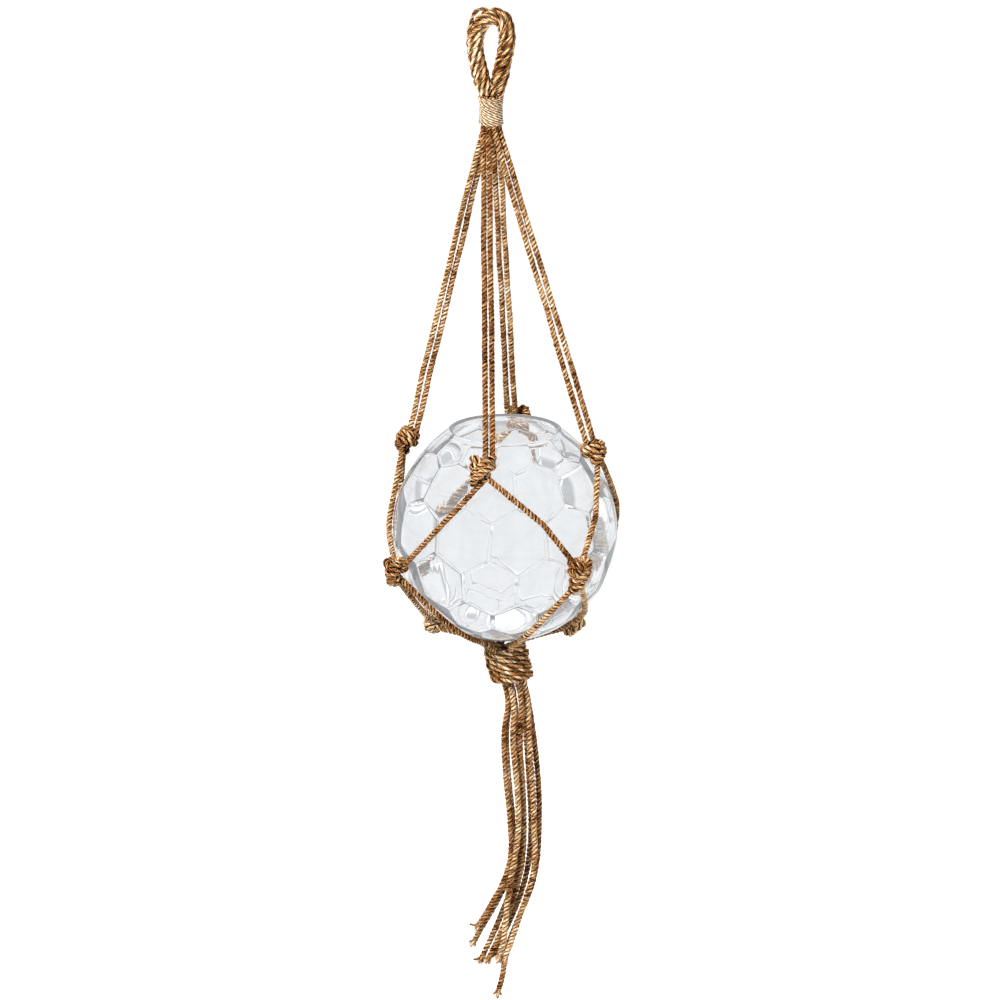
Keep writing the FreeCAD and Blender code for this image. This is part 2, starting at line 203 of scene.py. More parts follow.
globe = {"radius": 90.0, "drop": 420.3, "shift": 9.6, "cordGap": 0.3}
cord = {"diameter": 4.8, "pitch": 10.5, "pairSpacing": 6.0}
neck = {"drop": 60.0, "height": 24.0, "shift": -1.6, "ring": 6.6, "free": 4.5}
gather = {
    "shift": -1.0, "drop": 96.5, "lean": 15.0, "start": 3.4, "height": 29.0, "ring": 8.4, "tasselStart": 15.0,
}
knotSpots = {  # bearing and latitude on the globe, and how far the knot's middle is from it
    "upper_knot_front": (102.6, 41.3, 17.3),
    "upper_knot_left": (190.3, 40.3, 15.0),
    "upper_knot_back": (277.5, 39.0, 16.2),
    "upper_knot_right": (16.7, 43.2, 12.4),
    "lower_knot_front_left": (151.5, -13.3, 10.6),
    "lower_knot_front_right": (53.8, -8.5, 10.6),
    "lower_knot_back_left": (188.4, -55.3, 9.5),
    "lower_knot_back_right": (341.5, -56.2, 10.8),
}
knotSizes = {  # width and height
    "upper_knot_front": (22.0, 26.6),
    "upper_knot_left": (19.0, 25.0),
    "upper_knot_back": (21.0, 24.0),
    "upper_knot_right": (20.6, 18.0),
    "lower_knot_front_left": (20.0, 26.6),
    "lower_knot_front_right": (20.0, 29.0),
    "lower_knot_back_left": (16.6, 16.0),
    "lower_knot_back_right": (17.6, 21.0),
}
# Each pair of legs: where it ends, right of its knot's middle and above it, its turn round itself, how far
# its cords bow apart, and their bearings in the whipping
legPairs = {
    "front": {"foot": (4.4, 3.0), "turn": -10.0, "spread": 0.0, "slots": (157.5, 104.0)},
    "left": {"foot": (0.0, 6.0), "turn": 12.0, "spread": 0.9, "slots": (202.5, 247.5)},
    "right": {"foot": (0.0, 3.0), "turn": 8.0, "spread": 0.6, "slots": (67.5, 22.5)},
    "back": {"foot": (5.3, 3.0), "turn": -16.0, "spread": 0.2, "slots": (281.0, 330.0)},
}
# Each net cord: its two knots, with how far right of their middles and above them it lies, and a place
# that it passes over, as a bearing and a latitude
netCords = {
    "front_to_front_left": (
        ("upper_knot_front", 3.0, -7.0), ("lower_knot_front_left", 1.0, 1.0), (121.7, 18.6)),
    "front_to_front_right": (
        ("upper_knot_front", 5.0, -6.5), ("lower_knot_front_right", -2.5, 7.0), (71.7, 19.0)),
    "left_to_front_left": (
        ("upper_knot_left", 2.0, -4.0), ("lower_knot_front_left", -1.0, 1.0), (184.3, 14.7)),
    "left_to_back_left": (
        ("upper_knot_left", -2.0, -4.0), ("lower_knot_back_left", -1.0, 2.0), (205.0, -3.0)),
    "right_to_front_right": (
        ("upper_knot_right", -2.0, -5.0), ("lower_knot_front_right", 1.5, 6.5), (37.1, 14.4)),
    "right_to_back_right": (
        ("upper_knot_right", 2.0, -5.0), ("lower_knot_back_right", 1.0, 2.0), (345.0, 3.5)),
    "back_to_back_left": (
        ("upper_knot_back", 2.0, -3.0), ("lower_knot_back_left", -3.5, -0.5), (232.0, -8.0)),
    "back_to_back_right": (
        ("upper_knot_back", -2.0, -3.0), ("lower_knot_back_right", 3.5, -0.5), (312.0, -8.0)),
    "front_left_to_back_left": (
        ("lower_knot_front_left", -3.5, -6.0), ("lower_knot_back_left", 3.0, 1.5), (167.8, -36.5)),
    "front_right_to_back_right": (
        ("lower_knot_front_right", 3.0, -7.0), ("lower_knot_back_right", -3.0, 1.0), (31.4, -36.0)),
}
# Each sling: its knot in the same way, its bearing in the wrap, and a place that it passes over
slingCords = {
    "front_left": (("lower_knot_front_left", 2.0, -3.0), 112.5, (138.1, -38.0)),
    "front_right": (("lower_knot_front_right", 1.0, -7.0), 67.5, (67.4, -40.3)),
    "back_left_a": (("lower_knot_back_left", 5.0, -1.5), 157.5, None),
    "back_left_b": (("lower_knot_back_left", 0.0, -2.0), 202.5, None),
    "back_left_c": (("lower_knot_back_left", -5.0, -1.5), 247.5, None),
    "back_right_a": (("lower_knot_back_right", -5.0, -1.5), 22.5, None),
    "back_right_b": (("lower_knot_back_right", 0.0, -2.0), 337.5, None),
    "back_right_c": (("lower_knot_back_right", 5.0, -1.5), 292.5, None),
}
globeCentre = Vector((globe["shift"], 0, -globe["drop"]))
netRadius = globe["radius"] + cord["diameter"] / 2 + globe["cordGap"]
whippingTop = Vector((neck["shift"], 0, -neck["drop"]))
whippingFoot = whippingTop - Vector((0, 0, neck["height"]))
gatherLean = math.radians(gather["lean"])
wrapAxis = Vector((math.sin(gatherLean), 0, -math.cos(gatherLean)))
gatherPoint = globeCentre + Vector((gather["shift"], 0, -gather["drop"]))
wrapTop = gatherPoint + wrapAxis * gather["start"]
wrapFoot = wrapTop + wrapAxis * gather["height"]


def around(bearing, latitude=0.0):
    turn = math.radians(bearing)
    rise = math.radians(latitude)
    return Vector((math.cos(turn) * math.cos(rise), -math.sin(turn) * math.cos(rise), math.sin(rise)))


def knotPlace(name, right=0.0, above=0.0):
    bearing, latitude, standoff = knotSpots[name]
    outward = around(bearing, latitude)
    rightward = Vector((0, 0, 1)).cross(outward).normalized()
    upward = outward.cross(rightward)
    return globeCentre + outward * (globe["radius"] + standoff) + rightward * right + upward * above


def overGlobe(start, end, passing, steps):  # corners of a tangent polygon round the glass, from start to end
    middle = globeCentre
    radius = netRadius
    if passing:
        over = globeCentre + around(*passing) * netRadius
        normal = (start - over).cross(end - over).normalized()
        offset = (start - globeCentre).dot(normal)
        middle = globeCentre + normal * offset
        radius = math.sqrt(netRadius ** 2 - offset ** 2)
    toStart = start - middle
    toEnd = end - middle
    along = toStart.normalized()
    across = toStart.cross(toEnd).cross(toStart).normalized()
    first = math.acos(radius / toStart.length)
    last = toStart.angle(toEnd) - math.acos(radius / toEnd.length)
    half = (last - first) / steps / 2
    reach = radius / math.cos(half)
    corners = []
    for step in range(steps):
        angle = first + half * (2 * step + 1)
        corners.append(middle + (along * math.cos(angle) + across * math.sin(angle)) * reach)
    return [start] + corners + [end]


def ringPlace(centre, bearing, radius, axis):
    flat = around(bearing) * radius
    return centre + flat - axis * flat.dot(axis)


# Laid cord: plies that wind round a route, and fibres that stand off it
# Each pair in plyLook is the size of a change, in radians or as a share, and the metres that it spreads over

plyLook = {
    "turn": (0.45, 0.014), "ring": (0.10, 0.006), "thickness": (0.12, 0.0035), "fullness": 1.10,
    "patternStart": 40,
}
fibreLook = {
    "width": 0.00011, "shortest": 0.35, "root": 0.86, "sideways": 0.5, "liftScatter": 0.6, "curl": 0.35,
    "curlReach": 0.6, "thinning": 0.6, "shares": (0.0, 0.4, 0.75, 1.0),
}
samePlace = 1e-7  # metres
noiseSpread = 0.55


def splinePoints(points):  # points in metres along a smooth spline whose control points are in millimetres
    curve = bpy.data.curves.new("route", "CURVE")
    curve.dimensions = "3D"
    spline = curve.splines.new("NURBS")
    spline.points.add(len(points) - 1)
    for place, point in zip(spline.points, points):
        place.co = (point[0] * mm, point[1] * mm, point[2] * mm, 1)
    spline.order_u = 3
    spline.use_endpoint_u = True
    spline.resolution_u = 16
    holder = bpy.data.objects.new("route", curve)
    mesh = bpy.data.meshes.new_from_object(holder)
    read = np.array([v.co[:] for v in mesh.vertices])
    bpy.data.meshes.remove(mesh)
    bpy.data.objects.remove(holder)
    bpy.data.curves.remove(curve)
    return read


def evenly(points, step):  # the same line with its points the same distance apart
    gaps = np.linalg.norm(np.diff(points, axis=0), axis=1)
    keep = np.concatenate([[True], gaps > samePlace])
    points = points[keep]
    run = np.concatenate([[0], np.cumsum(np.linalg.norm(np.diff(points, axis=0), axis=1))])
    count = max(4, int(round(run[-1] / step)))
    places = np.linspace(0, run[-1], count + 1)
    return np.stack([np.interp(places, run, points[:, i]) for i in range(3)], axis=1), places


def unit(v):
    return v / np.maximum(np.linalg.norm(v, axis=-1, keepdims=True), 1e-12)


def framesAlong(points):  # tangent and two crossing directions that don't twist
    tangent = unit(np.gradient(points, axis=0))
    side = np.cross(tangent[0], (0.0, 0.0, 1.0))
    if np.linalg.norm(side) < 0.1:  # the line starts nearly upright
        side = np.cross(tangent[0], (0.0, 1.0, 0.0))
    sides = np.empty_like(points)
    sides[0] = side / np.linalg.norm(side)
    for i in range(1, len(points)):
        moved = sides[i - 1] - tangent[i] * np.dot(sides[i - 1], tangent[i])
        sides[i] = moved / np.linalg.norm(moved)
    return tangent, sides, np.cross(tangent, sides)


def slowNoise(rng, places, amount, spacing):  # smooth random values along a line, about amount either way
    knots = int(places[-1] / spacing) + 4
    return amount * np.interp(places, np.arange(knots) * spacing, rng.normal(0, noiseSpread, knots))


def windRound(points, places, radius, pitch, phase, hand=1):  # a helix round a line
    side, across = framesAlong(points)[1:]
    angle = (hand * 2 * math.pi * places / pitch + phase)[:, None]
    return points + (side * np.cos(angle) + across * np.sin(angle)) * radius[:, None]


class Tubes:  # gathers tubes and stray fibres into one mesh

    def __init__(self, seed):
        self.rng = np.random.default_rng(seed)
        self.points = []
        self.faces = []
        self.uvs = []
        self.crests = []
        self.faceMaterials = []
        self.count = 0

    def tube(self, centre, places, radius, outward, sides=9, lowest=0.0):  # lowest keeps the painted shade in the grooves paler
        tangent = unit(np.gradient(centre, axis=0))
        first = unit(outward - tangent * np.sum(outward * tangent, axis=1, keepdims=True))
        second = np.cross(tangent, first)
        angle = np.linspace(-math.pi, math.pi, sides, endpoint=False)
        ring = first[:, None, :] * np.cos(angle)[None, :, None]
        ring = ring + second[:, None, :] * np.sin(angle)[None, :, None]
        points = (centre[:, None, :] + ring * radius[:, None, None]).reshape(-1, 3)
        rows = len(centre)
        row, spot = np.meshgrid(np.arange(rows - 1), np.arange(sides), indexing="ij")
        beside = (spot + 1) % sides
        low = row * sides
        high = low + sides
        quads = np.stack([low + spot, high + spot, high + beside, low + beside], axis=-1).reshape(-1, 4)
        shift = self.rng.uniform(0, plyLook["patternStart"])
        here = places[row]
        further = places[row + 1]
        u = np.stack([here, further, further, here], axis=-1).reshape(-1, 4) + shift
        v = np.stack([spot, spot, spot + 1, spot + 1], axis=-1).reshape(-1, 4) / sides
        self.points.append(points)
        self.faces.extend((quads + self.count).tolist())
        self.uvs.append(np.stack([u, v], axis=-1).reshape(-1, 2))
        self.crests.append(np.tile(np.maximum(lowest, (1 + np.cos(angle)) / 2), rows))
        self.faceMaterials.extend([0] * len(quads))
        for end, order in ((0, range(sides)), (rows - 1, range(sides - 1, -1, -1))):
            self.faces.append([self.count + end * sides + n for n in order])
            self.uvs.append(np.tile([[shift, 0.5]], (sides, 1)))
            self.faceMaterials.append(0)
        self.count += len(points)

    def plied(self, points, diameter, pitch, plies=3, hand=1, sides=9, step=0.0010, lowest=0.0):
        line, places = evenly(points, step)
        spacing = math.sin(math.pi / plies)
        plyRadius = diameter / 2 / (1 + 1 / spacing)
        phase = self.rng.uniform(0, 2 * math.pi) + slowNoise(self.rng, places, *plyLook["turn"])
        for ply in range(plies):
            ring = plyRadius / spacing * (1 + slowNoise(self.rng, places, *plyLook["ring"]))
            turn = phase + ply * 2 * math.pi / plies
            centre = windRound(line, places, ring, pitch, turn, hand)
            thickness = plyRadius * (plyLook["fullness"] + slowNoise(self.rng, places, *plyLook["thickness"]))
            self.tube(centre, places, thickness, centre - line, sides, lowest)

    def strays(self, points, radius, perMetre, longest, lift):
        line, places = evenly(points, mm)
        tangent, side, across = framesAlong(line)
        count = max(1, int(perMetre * places[-1]))
        at = self.rng.integers(1, len(line) - 1, count)
        angle = self.rng.uniform(0, 2 * math.pi, count)[:, None]
        out = side[at] * np.cos(angle) + across[at] * np.sin(angle)
        turned = np.cross(tangent[at], out)
        way = np.sign(self.rng.normal(size=(count, 1)))
        lean = tangent[at] * way + turned * self.rng.normal(0, fibreLook["sideways"], (count, 1))
        rise = np.abs(self.rng.normal(lift, lift * fibreLook["liftScatter"], (count, 1)))
        length = self.rng.uniform(fibreLook["shortest"], 1.0, (count, 1)) ** 2 * longest
        base = line[at] + out * radius * fibreLook["root"]
        self.fibres(base, unit(lean + out * rise), out, length, fibreLook["width"])

    def fibres(self, base, way, bend, length, width):
        count = len(base)
        curl = self.rng.normal(0.0, fibreLook["curl"], (count, 1))
        flat = unit(np.cross(way, self.rng.normal(size=(count, 3))))
        rows = []
        for share in fibreLook["shares"]:
            middle = base + way * length * share - bend * length * share ** 2 * curl * fibreLook["curlReach"]
            thin = width * (1 - fibreLook["thinning"] * share)
            rows.append(middle + flat * thin)
            rows.append(middle - flat * thin)
        points = np.stack(rows, axis=1).reshape(-1, 3)
        start = self.count + np.arange(count)[:, None] * len(rows)
        for n in range(0, len(rows) - 2, 2):
            quad = start + np.array([[n, n + 1, n + 3, n + 2]])
            self.faces.extend(quad.tolist())
            self.faceMaterials.extend([1] * count)
            self.uvs.append(np.tile([[0.0, 0.5]], (count * 4, 1)))
        self.points.append(points)
        self.crests.append(np.ones(len(points)))
        self.count += len(points)

    def piece(self, name, materials, slot):
        mesh = bpy.data.meshes.new(name)
        mesh.from_pydata(np.concatenate(self.points).tolist(), [], self.faces)
        layer = mesh.uv_layers.new(name="lay")
        layer.data.foreach_set("uv", np.concatenate(self.uvs).astype(np.float32).ravel())
        crest = mesh.attributes.new("crest", "FLOAT", "POINT")
        crest.data.foreach_set("value", np.concatenate(self.crests).astype(np.float32))
        mesh.polygons.foreach_set("use_smooth", np.ones(len(mesh.polygons), dtype=bool))
        for material in materials:
            mesh.materials.append(material)
        mesh.polygons.foreach_set("material_index", np.array(self.faceMaterials, dtype=np.int32))
        mesh.update()
        obj = link(bpy.data.objects.new(name, mesh))
        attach(obj, "root")
        return obj


# Materials of the cords

grainLook = {
    "scale": 1, "detail": 3, "roughness": 0.65, "fineShare": 0.55, "coarseShare": 0.45, "patchDetail": 2,
    "patchShare": 0.2, "crest": (0.52, 0.98),
}
juteLook = {
    "grain": {"Twist": -75.0, "Fine Along": 120.0, "Fine Across": 10.0, "Coarse Along": 45.0,
              "Coarse Across": 4.0, "Patch Scale": 28.0},
    # The groove colour is painted shade, multiplied in where the plies turn in towards the cord's middle
    "grooveShade": (0.014, 0.003, 0.001), "bump": 0.9, "bumpDepth": 0.0005, "roughness": 0.85, "sheen": 0.0,
    "stops": [(0.40, (0.026, 0.005, 0.001)), (0.45, (0.18, 0.050, 0.009)), (0.495, (0.50, 0.220, 0.066)),
              (0.54, (0.90, 0.56, 0.26)), (0.59, (1.0, 0.91, 0.70))],
}
twineLook = {
    "grain": {"Twist": -60.0, "Fine Along": 160.0, "Fine Across": 9.0, "Coarse Along": 60.0,
              "Coarse Across": 3.0, "Patch Scale": 40.0},
    # The groove colour is painted shade, multiplied in where the plies turn in towards the cord's middle
    "grooveShade": (0.34, 0.21, 0.11), "bump": 0.5, "bumpDepth": 0.0002, "roughness": 0.6, "sheen": 0.15,
    "stops": [(0.34, (0.46, 0.30, 0.16)), (0.43, (0.70, 0.53, 0.33)), (0.50, (0.88, 0.75, 0.54)),
              (0.57, (0.97, 0.88, 0.70)), (0.66, (1.0, 0.96, 0.84))],
}
# Painted shade: the shaded copy of the jute scales the jute's colours by these
shadeFactor = (0.72, 0.60, 0.50)
strayLook = {
    "color": (0.56, 0.33, 0.14), "dark": 0.7, "pale": 1.25, "mottle": 260, "mottleEdge": (0.3, 0.7),
    "roughness": 0.7, "shine": 0.2,
}


def ramp(tree, value, stops):  # a colour for each value, from stops
    node = addNode(tree, "ValToRGB", {"Fac": value})
    for further in stops[2:]:
        node.color_ramp.elements.new(0.5)
    for element, (place, color) in zip(node.color_ramp.elements, stops):
        element.position = place
        element.color = (*color, 1)
    return node.outputs["Color"]


def fibreGroup():  # grain and height of the fibres along a ply, and a mask that is 1 on its crest and falls to 0 in the grooves, where shade is painted
    group = bpy.data.node_groups.new("laidFibres", "ShaderNodeTree")
    for label in juteLook["grain"]:
        group.interface.new_socket(name=label, in_out="INPUT", socket_type="NodeSocketFloat")
    for label in ("Grain", "Height", "Crest"):
        group.interface.new_socket(name=label, in_out="OUTPUT", socket_type="NodeSocketFloat")
    given = group.nodes.new("NodeGroupInput").outputs
    out = group.nodes.new("NodeGroupOutput").inputs
    uv = addNode(group, "UVMap", uv_map="lay").outputs[0]
    split = addNode(group, "SeparateXYZ", {0: uv}).outputs
    roundPly = mathNode(group, "ADD", split["Y"], mathNode(group, "MULTIPLY", split["X"], given["Twist"]))
    grain = {"Scale": grainLook["scale"], "Detail": grainLook["detail"], "Roughness": grainLook["roughness"]}
    waves = []
    for size in ("Fine", "Coarse"):
        along = mathNode(group, "MULTIPLY", split["X"], given[size + " Along"])
        across = mathNode(group, "MULTIPLY", roundPly, given[size + " Across"])
        where = addNode(group, "CombineXYZ", {"X": along, "Y": across}).outputs[0]
        waves.append(addNode(group, "TexNoise", dict(grain, Vector=where)).outputs["Fac"])
    place = addNode(group, "TexCoord").outputs["Object"]
    patches = {"Scale": given["Patch Scale"], "Detail": grainLook["patchDetail"], "Vector": place}
    patchy = mathNode(group, "SUBTRACT", addNode(group, "TexNoise", patches).outputs["Fac"], 0.5)
    fine = mathNode(group, "MULTIPLY", waves[0], grainLook["fineShare"])
    coarse = mathNode(group, "MULTIPLY", waves[1], grainLook["coarseShare"])
    height = mathNode(group, "ADD", fine, coarse)
    grain = mathNode(group, "ADD", height, mathNode(group, "MULTIPLY", patchy, grainLook["patchShare"]))
    crest = addNode(group, "Attribute", attribute_name="crest").outputs["Fac"]
    group.links.new(grain, out["Grain"])
    group.links.new(height, out["Height"])
    group.links.new(smoothRange(group, crest, grainLook["crest"], (0, 1)), out["Crest"])
    return group


def newMaterial(name, inputs):
    material = bpy.data.materials.new(name)
    material.use_nodes = True
    surface = material.node_tree.nodes["Principled BSDF"]
    for label, value in inputs.items():
        surface.inputs[label].default_value = value
    return material, material.node_tree, surface.inputs


def fibreMaterial(name, group, look):
    material, tree, surface = newMaterial(name, {
        "Roughness": look["roughness"], "Sheen Weight": look["sheen"], "Sheen Roughness": 0.5,
        "Specular IOR Level": 0.08,
    })
    fibres = addNode(tree, "Group", look["grain"], node_tree=group).outputs
    colors = ramp(tree, fibres["Grain"], look["stops"])
    # Painted shade: the groove colour darkens the sides of the plies that face the cord's middle
    tint = ramp(tree, fibres["Crest"], [(0, look["grooveShade"]), (1, (1, 1, 1))])
    colored = {"Factor": 1, "A": colors, "B": tint}
    shade = addNode(tree, "Mix", colored, data_type="RGBA", blend_type="MULTIPLY")
    relief = {"Strength": look["bump"], "Distance": look["bumpDepth"], "Height": fibres["Height"]}
    tree.links.new(shade.outputs["Result"], surface["Base Color"])
    tree.links.new(addNode(tree, "Bump", relief).outputs[0], surface["Normal"])
    return material


def strayMaterial(look):
    material, tree, surface = newMaterial("juteFuzz", {
        "Roughness": look["roughness"], "Specular IOR Level": look["shine"],
    })
    place = addNode(tree, "TexCoord").outputs["Object"]
    mottle = addNode(tree, "TexNoise", {"Scale": look["mottle"], "Vector": place}).outputs["Fac"]
    dark = tuple(c * look["dark"] for c in look["color"])
    pale = tuple(min(1, c * look["pale"]) for c in look["color"])
    colors = ramp(tree, mottle, list(zip(look["mottleEdge"], (dark, pale))))
    tree.links.new(colors, surface["Base Color"])
    return material


# Painted shade: a shaded copy of the jute, for the cords listed below
shadedStops = [(place, tuple(c * d for c, d in zip(color, shadeFactor))) for place, color in juteLook["stops"]]
laidFibres = fibreGroup()
jute = fibreMaterial("jute", laidFibres, juteLook)
shadedJute = fibreMaterial("shadedJute", laidFibres, dict(juteLook, stops=shadedStops))
twine = fibreMaterial("twine", laidFibres, twineLook)
fuzz = strayMaterial(strayLook)
print("materials ready")


# Legs, net and sling cords

shadedNodes = {  # cords that are a deeper brown in the photo, given painted shade as a shaded copy of the jute
    "leg_front_a", "leg_front_b", "net_front_to_front_left", "net_front_to_front_right", "sling_front_left",
    "tassel_strand_1", "tassel_strand_5", "tassel_strand_8",
}
fuzzLook = {"perMetre": 1100, "longest": 0.0065, "lift": 0.45}
hairLook = {"perMetre": 45, "longest": 0.016, "lift": 0.7}
legLook = {"seed": 100, "aboveBend": 9.0, "belowBend": 14.0}
legWave = {"size": 0.5, "spacing": 0.03, "fade": 0.02, "step": 0.002}  # the size in mm, the others in metres
netLook = {"seed": 200, "corners": 4}
slingLook = {"seed": 300, "corners": 3}


def cordPiece(name, points, seed, node, wave=None):
    tubes = Tubes(seed)
    line = splinePoints(points)
    if wave:
        line, places = evenly(line, wave["step"])
        fade = np.minimum(1, np.minimum(places, places[-1] - places) / wave["fade"])[:, None]
        for way in framesAlong(line)[1:]:
            sway = slowNoise(tubes.rng, places, wave["size"], wave["spacing"])[:, None]
            line = line + way * (sway * mm * fade)
    diameter = cord["diameter"] * mm
    tubes.plied(line, diameter, cord["pitch"] * mm)
    tubes.strays(line, diameter / 2, **fuzzLook)
    tubes.strays(line, diameter / 2, **hairLook)
    piece = tubes.piece(name, [shadedJute if node in shadedNodes else jute, fuzz], "jute")
    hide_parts(node)


def makeLegs():
    seed = legLook["seed"]
    for name, pair in legPairs.items():
        place = knotPlace("upper_knot_" + name, *pair["foot"])
        down = (place - whippingFoot).normalized()
        across = down.cross(Vector((0, 1, 0))).normalized()
        across.rotate(Quaternion(down, math.radians(-pair["turn"])))
        for letter, hand, slot in zip("ab", (-1, 1), pair["slots"]):
            top = whippingTop + around(slot) * neck["ring"]
            bend = top - Vector((0, 0, neck["height"] + neck["free"]))
            end = place + across * (hand * cord["pairSpacing"] / 2)
            along = (end - bend).normalized()
            bow = across * (hand * pair["spread"])
            above = bend + Vector((0, 0, legLook["aboveBend"]))
            below = bend + along * legLook["belowBend"] + bow / 2
            points = [top, above, bend, below, (bend + end) / 2 + bow, end]
            label = name + "_" + letter
            cordPiece("legCord_" + label, points, seed, "leg_" + label, legWave)
            seed += 1


def makeNet():
    for number, (name, (leaving, entering, passing)) in enumerate(netCords.items()):
        points = overGlobe(knotPlace(*leaving), knotPlace(*entering), passing, netLook["corners"])
        cordPiece("netCord_" + name, points, netLook["seed"] + number, "net_" + name)


def makeSlings():
    for number, (name, (leaving, slot, passing)) in enumerate(slingCords.items()):
        turnIn = ringPlace(gatherPoint, slot, gather["ring"], wrapAxis)
        foot = turnIn + wrapAxis * (gather["start"] + gather["height"])
        points = overGlobe(knotPlace(*leaving), turnIn, passing, slingLook["corners"]) + [foot]
        cordPiece("slingCord_" + name, points, slingLook["seed"] + number, "sling_" + name)


makeLegs()
makeNet()
makeSlings()
print("legs, net and slings ready")


# Knots: two cords side by side round their own standing part
# Each turn is how far right, outwards and up, in millimetres, and how the second cord leans beside the first

knotLook = {
    "seed": 400, "spacing": 5.4, "diameter": 6.2, "pitch": 13.125, "step": 0.0009,
    "turns": [(-1.5, -1.5, -4.0, 90), (-8.5, -2.0, -7.5, 90), (-8.0, 6.5, -5.5, 85), (0.0, 8.6, 0.0, 80),
              (8.0, 6.5, 5.0, 80), (9.4, -3.0, 6.0, 90), (2.0, -9.0, 3.5, 100), (-7.0, -7.0, 3.5, 95),
              (-9.6, 1.5, 5.0, 90), (-5.5, 7.6, 5.5, 75), (0.0, 5.0, 2.0, 50), (2.5, 1.0, -5.0, 20)],
}
tuftLook = {
    "fibres": 70, "patch": 1.1, "scatter": 0.45, "lengths": (0.003, 0.0085), "width": 0.00015,
    "places": {"lower_knot_back_left": ((-4.0, -4.0, 3.0), (-1.0, -0.3, 0.5)),
               "upper_knot_right": ((-7.0, -4.0, 5.0), (-1.0, -0.2, 0.8))},
}


def addTuft(tubes, centre, offset, way):
    count = tuftLook["fibres"]
    base = (np.array(centre) + offset + tubes.rng.normal(0, tuftLook["patch"], (count, 3))) * mm
    lean = unit(np.array(way) + tubes.rng.normal(0, tuftLook["scatter"], (count, 3)))
    tubes.fibres(base, lean, lean, tubes.rng.uniform(*tuftLook["lengths"], (count, 1)), tuftLook["width"])


def knotPiece(name, centre, axis, facing, seed, node):
    up = axis.normalized()
    right = up.cross(facing).normalized()
    out = right.cross(up)
    width, height = knotSizes[node]
    tubes = Tubes(seed)
    lines = []
    for hand in (-1, 1):
        points = []
        for x, y, z, lean in knotLook["turns"]:
            side = math.cos(math.radians(lean)) * hand * knotLook["spacing"] / 2
            lift = math.sin(math.radians(lean)) * hand * knotLook["spacing"] / 2
            points.append((x + side, y, z + lift))
        lines.append(splinePoints(points) / mm)
    both = np.concatenate(lines)
    middle = (both.max(axis=0) + both.min(axis=0)) / 2
    reach = (both.max(axis=0) - both.min(axis=0)) / 2
    room = np.array((width, width, height)) / 2 - knotLook["diameter"] / 2
    for line in lines:
        fitted = (line - middle) * room / reach
        line = (np.array(centre) + fitted @ np.array([right, out, up])) * mm
        tubes.plied(line, knotLook["diameter"] * mm, knotLook["pitch"] * mm, step=knotLook["step"])
        tubes.strays(line, knotLook["diameter"] / 2 * mm, **fuzzLook)
    if node in tuftLook["places"]:
        addTuft(tubes, centre, *tuftLook["places"][node])
    piece = tubes.piece(name, [jute, fuzz], "jute")
    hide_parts(node)


def makeKnots():
    for number, (node, spot) in enumerate(knotSpots.items()):
        place = knotPlace(node)
        if node.startswith("upper"):
            axis = whippingFoot - place
            outward = around(spot[0])
        else:
            outward = around(spot[0], spot[1])
            axis = Vector((0, 0, 1)) - outward * outward.z
        knotPiece(node.replace("knot", "knotCords"), place, axis, outward, knotLook["seed"] + number, node)


makeKnots()
print("knots ready")


# Hanging eye: the middles of the four cords laid together, and a loose strand beside it

eyeLook = {
    "seed": 500, "strands": 4, "rope": 14.3, "strand": 6.1, "pitch": 25.5, "plyPitch": 34.0, "start": 0.4,
    "foot": 0.70, "footShare": 0.11, "loose": 3.6, "looseDepth": -2.0, "lowest": 0.66, "step": 0.0009,
    "right": [(3.2, -60.0), (6.2, -40.0), (12.6, -14.0), (8.2, 5.4)],
    "left": [(-5.0, 4.4), (-14.6, -8.0), (-14.2, -30.0), (-5.4, -60.0)],
    "loop": [(-16.5, -18.0), (-20.4, -7.0), (-17.6, -1.0), (-16.6, 6.0), (-11.5, 12.0), (-4.5, 11.0),
             (2.0, 7.0)],
}


def makeEye():
    look = eyeLook
    line, places = evenly(splinePoints([(x, 0, z) for x, z in look["right"] + look["left"]]), mm)
    share = places / places[-1]
    edge = np.clip(np.minimum(share, 1 - share) / look["footShare"], 0, 1)
    width = look["foot"] + (1 - look["foot"]) * edge * edge * (3 - 2 * edge)
    ring = (look["rope"] - look["strand"]) / 2 * mm
    tubes = Tubes(look["seed"])
    for strand in range(look["strands"]):
        turn = strand * 2 * math.pi / look["strands"] + look["start"]
        route = windRound(line, places, ring * width, look["pitch"] * mm, turn)
        tubes.plied(route, look["strand"] * mm, look["plyPitch"] * mm, hand=-1, sides=10, step=look["step"],
                    lowest=look["lowest"])
        tubes.strays(route, look["strand"] / 2 * mm, **fuzzLook)
    loop = splinePoints([(x, look["looseDepth"], z) for x, z in look["loop"]])
    tubes.plied(loop, look["loose"] * mm, look["plyPitch"] / 2 * mm, plies=2, step=look["step"],
                lowest=look["lowest"])
    tubes.strays(loop, look["loose"] / 2 * mm, **fuzzLook)
    piece = tubes.piece("eyeRope", [jute, fuzz], "jute")
    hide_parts("hanging_eye")


makeEye()
print("hanging eye ready")


# Whipping: pale twine wound round the legs
# A scatter, here and in the wrap, is its size in millimetres and the share of the length that it spreads over

whippingLook = {
    "seed": 600, "scatterSeed": 31, "turns": 13, "turnPoints": 40, "twine": 1.9, "plyPitch": 0.009,
    "step": 0.0008, "bore": 9.05, "sunk": 0.5, "waist": 0.9, "heightScatter": (0.35, 0.012),
    "radiusScatter": (0.25, 0.008),
}


